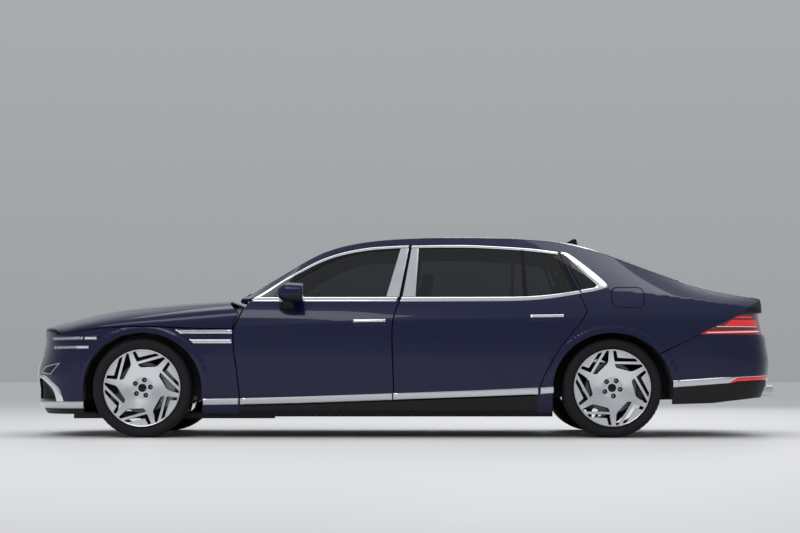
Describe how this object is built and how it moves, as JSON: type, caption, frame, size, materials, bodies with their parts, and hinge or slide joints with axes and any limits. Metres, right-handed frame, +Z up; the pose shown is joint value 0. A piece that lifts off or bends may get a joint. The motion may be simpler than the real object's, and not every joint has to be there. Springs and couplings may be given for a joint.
{
  "type": "luxury sedan",
  "caption": "Long four-door sedan with opening doors, hood, boot lid and fuel flap, steered front wheels and a seated cabin.",
  "frame": {"origin": "on the ground under the middle of the car's length and width", "axes": "+X to the tail, the nose points to -X, -Y is the car's left side, +Z up"},
  "size_m": [5.465, 2.21, 1.4876],
  "materials": {
    "body_paint": "very dark blue metallic clear coat",
    "tinted_glass": "dark tinted",
    "tyre_rubber": "matt black",
    "alloy_wheel": "machined silver",
    "chrome_trim": "bright",
    "clear_lamp": "clear lens",
    "red_lamp": "red lens",
    "seat_leather": "dark brown",
    "chassis_steel": "dark coated",
    "dark_trim": "satin black"
  },
  "bodies": {
    "body_shell": {"dashboard": "dark_trim", "engine": "dark_trim", "fender_left": "body_paint", "fender_right": "body_paint", "floor_pan": "dark_trim", "front_bumper": "body_paint", "front_subframe": "chassis_steel", "grille": "chrome_trim", "headlamp_left": "clear_lamp", "headlamp_right": "clear_lamp", "quarter_glass_left": "tinted_glass", "quarter_glass_right": "tinted_glass", "rear_axle": "chassis_steel", "rear_bumper": "body_paint", "rear_window": "tinted_glass", "roof": "body_paint", "seat_front_left": "seat_leather", "seat_front_right": "seat_leather", "seat_rear": "seat_leather", "side_panel_left": "body_paint", "side_panel_right": "body_paint", "sill_left": "body_paint", "sill_right": "body_paint", "tail_lamp_left": "red_lamp", "tail_lamp_right": "red_lamp", "windscreen": "tinted_glass"},
    "door_front_left": {"door_front_left": "body_paint", "door_glass_front_left": "tinted_glass", "mirror_left": "body_paint"},
    "door_rear_left": {"door_rear_left": "body_paint", "door_glass_rear_left": "tinted_glass"},
    "steering_left": {"knuckle_left": "chassis_steel"},
    "wheel_front_left": {"wheel_front_left": "alloy_wheel", "tyre_front_left": "tyre_rubber"},
    "wheel_rear_left": {"wheel_rear_left": "alloy_wheel", "tyre_rear_left": "tyre_rubber"},
    "door_front_right": {"door_front_right": "body_paint", "door_glass_front_right": "tinted_glass", "mirror_right": "body_paint"},
    "door_rear_right": {"door_rear_right": "body_paint", "door_glass_rear_right": "tinted_glass"},
    "steering_right": {"knuckle_right": "chassis_steel"},
    "wheel_front_right": {"wheel_front_right": "alloy_wheel", "tyre_front_right": "tyre_rubber"},
    "wheel_rear_right": {"wheel_rear_right": "alloy_wheel", "tyre_rear_right": "tyre_rubber"},
    "hood": {"hood": "body_paint"},
    "boot_lid": {"boot_lid": "body_paint"},
    "fuel_flap": {"fuel_flap": "body_paint"},
    "steering_wheel": {"steering_wheel": "dark_trim"}
  },
  "joints": [
    {"name": "door_front_left_hinge", "type": "hinge", "parent": "body_shell", "child": "door_front_left", "pos_m": [-1.095, -0.92, 0.6], "axis": [0, 0, -1], "range_deg": [0, 66]},
    {"name": "door_rear_left_hinge", "type": "hinge", "parent": "body_shell", "child": "door_rear_left", "pos_m": [0.045, -0.92, 0.6], "axis": [0, 0, -1], "range_deg": [0, 70]},
    {"name": "steer_left", "type": "hinge", "parent": "body_shell", "child": "steering_left", "pos_m": [-1.8625, -0.7525, 0.356], "axis": [0, 0, 1], "range_deg": [-35, 35]},
    {"name": "wheel_front_left_spin", "type": "hinge", "parent": "steering_left", "child": "wheel_front_left", "pos_m": [-1.8625, -0.8125, 0.356], "axis": [0, 1, 0], "continuous": true},
    {"name": "wheel_rear_left_spin", "type": "hinge", "parent": "body_shell", "child": "wheel_rear_left", "pos_m": [1.5075, -0.8025, 0.356], "axis": [0, 1, 0], "continuous": true},
    {"name": "door_front_right_hinge", "type": "hinge", "parent": "body_shell", "child": "door_front_right", "pos_m": [-1.095, 0.92, 0.6], "axis": [0, 0, 1], "range_deg": [0, 66]},
    {"name": "door_rear_right_hinge", "type": "hinge", "parent": "body_shell", "child": "door_rear_right", "pos_m": [0.045, 0.92, 0.6], "axis": [0, 0, 1], "range_deg": [0, 70]},
    {"name": "steer_right", "type": "hinge", "parent": "body_shell", "child": "steering_right", "pos_m": [-1.8625, 0.7525, 0.356], "axis": [0, 0, 1], "range_deg": [-35, 35]},
    {"name": "wheel_front_right_spin", "type": "hinge", "parent": "steering_right", "child": "wheel_front_right", "pos_m": [-1.8625, 0.8125, 0.356], "axis": [0, 1, 0], "continuous": true},
    {"name": "wheel_rear_right_spin", "type": "hinge", "parent": "body_shell", "child": "wheel_rear_right", "pos_m": [1.5075, 0.8025, 0.356], "axis": [0, 1, 0], "continuous": true},
    {"name": "hood_hinge", "type": "hinge", "parent": "body_shell", "child": "hood", "pos_m": [-1.15, 0, 0.925], "axis": [0, 1, 0], "range_deg": [0, 50]},
    {"name": "boot_lid_hinge", "type": "hinge", "parent": "body_shell", "child": "boot_lid", "pos_m": [1.83, 0, 1.06], "axis": [0, -1, 0], "range_deg": [0, 75]},
    {"name": "fuel_flap_hinge", "type": "hinge", "parent": "body_shell", "child": "fuel_flap", "pos_m": [1.5165, -0.8898, 1.0055], "axis": [0, -0.5433, -0.8395], "range_deg": [0, 80]},
    {"name": "steering_wheel_turn", "type": "hinge", "parent": "body_shell", "child": "steering_wheel", "pos_m": [-0.56, -0.37, 0.905], "axis": [0.9135, 0, 0.4067], "range_deg": [-420, 420]}
  ],
  "couplings": [
    {"joint": "steer_right", "follows": "steer_left", "ratio": 1},
    {"joint": "steering_wheel_turn", "follows": "steer_left", "ratio": 12}
  ]
}
